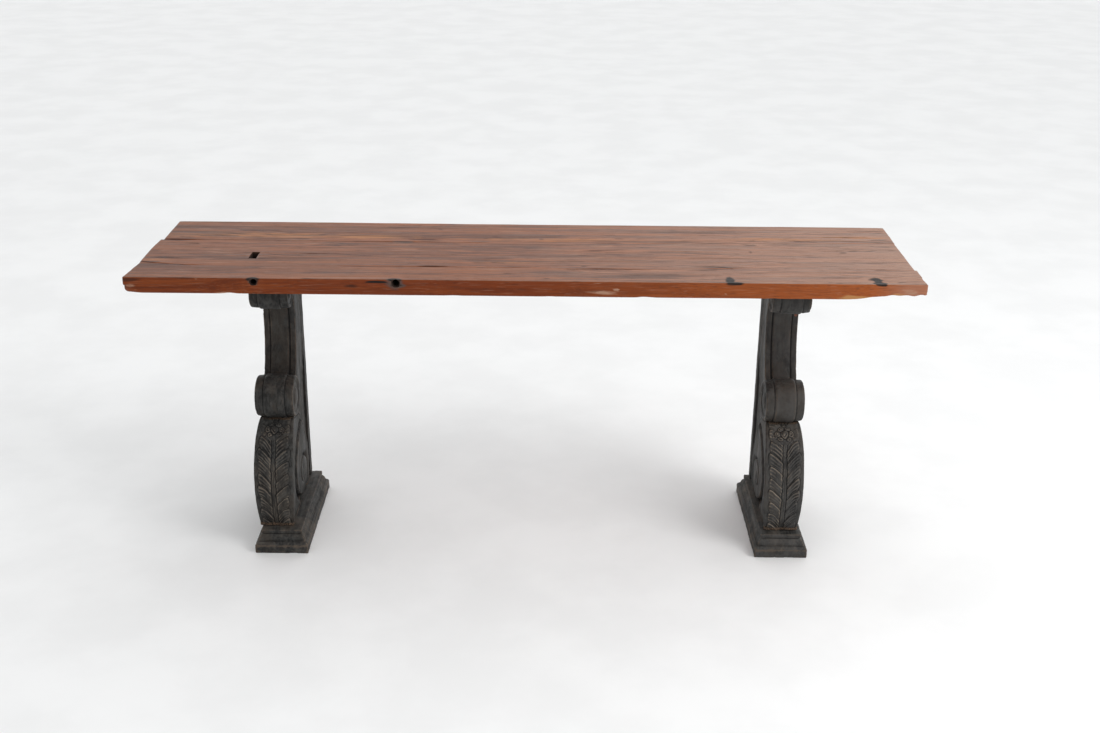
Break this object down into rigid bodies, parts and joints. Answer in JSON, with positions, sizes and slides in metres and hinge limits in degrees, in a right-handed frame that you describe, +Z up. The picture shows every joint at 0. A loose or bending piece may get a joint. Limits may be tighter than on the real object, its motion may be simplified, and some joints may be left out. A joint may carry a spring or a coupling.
{
  "type": "console table",
  "caption": "Long console table: a reclaimed plank top on carved, darkened scroll supports with leaf fronts, each standing on a moulded plinth.",
  "frame": {"origin": "on the floor, under the middle of the table's overall box", "axes": "+X along the table to the right as seen from its front, -Y towards the front, +Z up"},
  "size_m": [2.01, 0.5, 0.81],
  "materials": {
    "top_wood": "old reclaimed hardwood, waxed, greyed on top and warm orange brown on its sawn front edge, with cracks and iron stains",
    "carved_wood": "carved wood stained near black, satin, worn brown along its arrises",
    "plain_wood": "bare softwood",
    "screw_steel": "dull dark steel"
  },
  "bodies": {
    "root": {"left_back_board": "carved_wood", "left_back_screw_1": "screw_steel", "left_back_screw_2": "screw_steel", "left_back_screw_3": "screw_steel", "left_cleat": "plain_wood", "left_cleat_screw_inner_1": "screw_steel", "left_cleat_screw_inner_2": "screw_steel", "left_cleat_screw_inner_3": "screw_steel", "left_cleat_screw_outer_1": "screw_steel", "left_cleat_screw_outer_2": "screw_steel", "left_cleat_screw_outer_3": "screw_steel", "left_leaf": "carved_wood", "left_lower_scroll": "carved_wood", "left_mid_roll": "carved_wood", "left_mid_roll_dowel": "plain_wood", "left_plinth_base": "carved_wood", "left_plinth_cap": "carved_wood", "left_plinth_screw_front": "screw_steel", "left_plinth_screw_rear": "screw_steel", "left_top_dowel_front": "plain_wood", "left_top_dowel_rear": "plain_wood", "left_top_roll": "carved_wood", "left_top_roll_dowel": "plain_wood", "left_upper_scroll": "carved_wood", "left_web_panel": "carved_wood", "right_back_board": "carved_wood", "right_back_screw_1": "screw_steel", "right_back_screw_2": "screw_steel", "right_back_screw_3": "screw_steel", "right_cleat": "plain_wood", "right_cleat_screw_inner_1": "screw_steel", "right_cleat_screw_inner_2": "screw_steel", "right_cleat_screw_inner_3": "screw_steel", "right_cleat_screw_outer_1": "screw_steel", "right_cleat_screw_outer_2": "screw_steel", "right_cleat_screw_outer_3": "screw_steel", "right_leaf": "carved_wood", "right_lower_scroll": "carved_wood", "right_mid_roll": "carved_wood", "right_mid_roll_dowel": "plain_wood", "right_plinth_base": "carved_wood", "right_plinth_cap": "carved_wood", "right_plinth_screw_front": "screw_steel", "right_plinth_screw_rear": "screw_steel", "right_top_dowel_front": "plain_wood", "right_top_dowel_rear": "plain_wood", "right_top_roll": "carved_wood", "right_top_roll_dowel": "plain_wood", "right_upper_scroll": "carved_wood", "right_web_panel": "carved_wood", "top_board_front": "top_wood", "top_board_middle": "top_wood", "top_board_rear": "top_wood", "top_tongue_front": "plain_wood", "top_tongue_rear": "plain_wood"}
  },
  "joints": []
}
